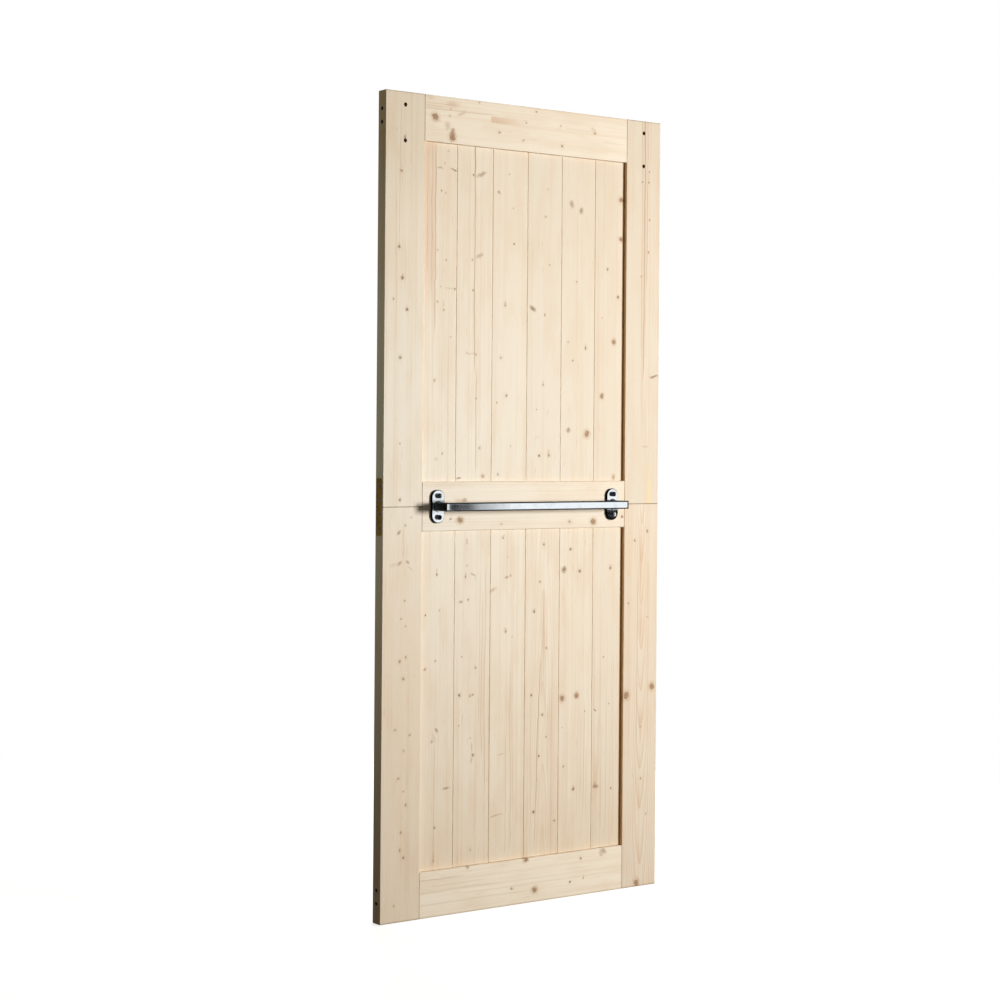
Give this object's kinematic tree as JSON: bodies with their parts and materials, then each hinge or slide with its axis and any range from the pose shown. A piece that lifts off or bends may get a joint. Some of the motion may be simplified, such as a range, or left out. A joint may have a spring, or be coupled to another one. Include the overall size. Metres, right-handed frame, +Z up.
{
  "type": "barn door",
  "caption": "Two-panel plank barn door in bare spruce, with stiles split at mid-height, a middle rail, a long chrome bar pull and drilled holes for hangers.",
  "frame": {"origin": "middle of the door's bottom edge, halfway through the thickness of the frame", "axes": "+Z up the door, +X to the right seen from the front, +Y from the front face to the back"},
  "size_m": [0.914, 0.099, 2.134],
  "materials": {
    "spruce": "planed, unfinished",
    "plate_steel": "yellow zinc plated",
    "screw_steel": "dark zinc plated",
    "chrome": "polished"
  },
  "bodies": {
    "root": {"left_stile_upper": "spruce", "left_stile_lower": "spruce", "right_stile_upper": "spruce", "right_stile_lower": "spruce", "top_rail": "spruce", "mid_rail": "spruce", "bottom_rail": "spruce", "upper_plank_1": "spruce", "upper_plank_2": "spruce", "upper_plank_3": "spruce", "upper_plank_4": "spruce", "upper_plank_5": "spruce", "upper_plank_6": "spruce", "lower_plank_1": "spruce", "lower_plank_2": "spruce", "lower_plank_3": "spruce", "lower_plank_4": "spruce", "lower_plank_5": "spruce", "lower_plank_6": "spruce", "left_joining_plate": "plate_steel", "right_joining_plate": "plate_steel", "joining_plate_screws": "screw_steel", "rail_screws": "screw_steel", "handle_flange_screws": "screw_steel", "handle_leg_screws": "screw_steel", "handle_bar": "chrome", "left_handle_flange": "chrome", "right_handle_flange": "chrome"}
  },
  "joints": []
}
